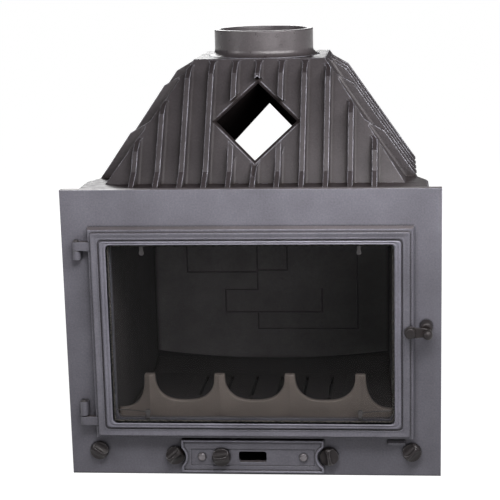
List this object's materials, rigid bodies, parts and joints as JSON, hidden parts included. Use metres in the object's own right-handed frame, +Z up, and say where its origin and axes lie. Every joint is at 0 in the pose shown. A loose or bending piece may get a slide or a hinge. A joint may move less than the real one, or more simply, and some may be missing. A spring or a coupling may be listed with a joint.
{
  "type": "fireplace insert",
  "caption": "Cast-iron fireplace insert: glazed side-hung door, air valves, slide-out ash drawer, ribbed smoke hood with a diamond tunnel and a round flue collar.",
  "frame": {"origin": "midway along the foot of the front frame's face, on the floor", "axes": "+X to the right seen from the room, +Y into the chimney breast, +Z up along the flue"},
  "size_m": [0.7, 0.5414, 0.816],
  "materials": {
    "cast_iron": "as-cast, matt dark grey",
    "steel": "darkened plain steel",
    "sheet_steel": "matt black heat-proof paint on sheet steel",
    "fibre": "braided heat-proof fibre",
    "glass": "clear heat-proof glass"
  },
  "bodies": {
    "body": {"front_frame": "cast_iron", "base_plate": "cast_iron", "side_panel_right": "cast_iron", "side_panel_left": "cast_iron", "back_panel": "cast_iron", "hood": "cast_iron", "air_tunnel": "cast_iron", "smoke_collar": "cast_iron", "hood_gasket": "fibre", "frame_gasket": "fibre", "ash_chamber": "cast_iron", "hearth_bed": "cast_iron", "fire_grate": "cast_iron", "fireback_plate": "cast_iron", "side_liner_right": "cast_iron", "side_liner_left": "cast_iron", "baffle_plate": "cast_iron", "log_guard": "cast_iron", "latch_keeper": "cast_iron", "hinge_pin_upper": "steel", "hinge_pin_lower": "steel", "hinge_washer": "steel", "frame_bolts": "steel", "hood_bolts": "steel", "base_bolts": "steel", "back_bolts": "steel", "back_nuts": "steel", "fireback_bolts": "steel"},
    "door": {"door_frame": "cast_iron", "door_glass": "glass", "glass_gasket": "fibre", "door_rope_seal": "fibre", "glass_clips": "steel", "glass_clip_screws": "steel", "latch_pivot_bolt": "steel"},
    "latch": {"latch_lever": "cast_iron", "latch_ball": "steel"},
    "ash_drawer": {"ash_cover": "cast_iron", "cover_rivets": "steel", "ash_pan": "sheet_steel"},
    "cover_catch": {"cover_knob": "cast_iron", "catch_spindle": "steel", "catch_pawl": "steel"},
    "air_valve_left_outer": {"air_knob_left_outer": "cast_iron", "air_spindle_left_outer": "steel", "air_shutter_left_outer": "sheet_steel"},
    "air_valve_left_inner": {"air_knob_left_inner": "cast_iron", "air_spindle_left_inner": "steel", "air_shutter_left_inner": "sheet_steel"},
    "air_valve_right_inner": {"air_knob_right_inner": "cast_iron", "air_spindle_right_inner": "steel", "air_shutter_right_inner": "sheet_steel"},
    "air_valve_right_outer": {"air_knob_right_outer": "cast_iron", "air_spindle_right_outer": "steel", "air_shutter_right_outer": "sheet_steel"}
  },
  "joints": [
    {"name": "door_hinge", "type": "hinge", "parent": "body", "child": "door", "pos_m": [-0.32, -0.012, 0.28], "axis": [0, 0, -1], "range_deg": [0, 110]},
    {"name": "latch_pivot", "type": "hinge", "parent": "door", "child": "latch", "pos_m": [0.292, -0.033, 0.2875], "axis": [0, -1, 0], "range_deg": [0, 80]},
    {"name": "ash_drawer_slide", "type": "slide", "parent": "body", "child": "ash_drawer", "axis": [0, -1, 0], "range_m": [0, 0.3]},
    {"name": "cover_catch_turn", "type": "hinge", "parent": "ash_drawer", "child": "cover_catch", "pos_m": [-0.062, 0, 0.04], "axis": [0, 1, 0], "range_deg": [0, 90]},
    {"name": "air_valve_left_outer_turn", "type": "hinge", "parent": "body", "child": "air_valve_left_outer", "pos_m": [-0.296, 0.005, 0.048], "axis": [0, 1, 0], "range_deg": [0, 60]},
    {"name": "air_valve_left_inner_turn", "type": "hinge", "parent": "body", "child": "air_valve_left_inner", "pos_m": [-0.1515, 0.005, 0.039], "axis": [0, 1, 0], "range_deg": [0, 60]},
    {"name": "air_valve_right_inner_turn", "type": "hinge", "parent": "body", "child": "air_valve_right_inner", "pos_m": [0.1408, 0.005, 0.039], "axis": [0, 1, 0], "range_deg": [0, 60]},
    {"name": "air_valve_right_outer_turn", "type": "hinge", "parent": "body", "child": "air_valve_right_outer", "pos_m": [0.296, 0.005, 0.048], "axis": [0, 1, 0], "range_deg": [0, 60]}
  ]
}
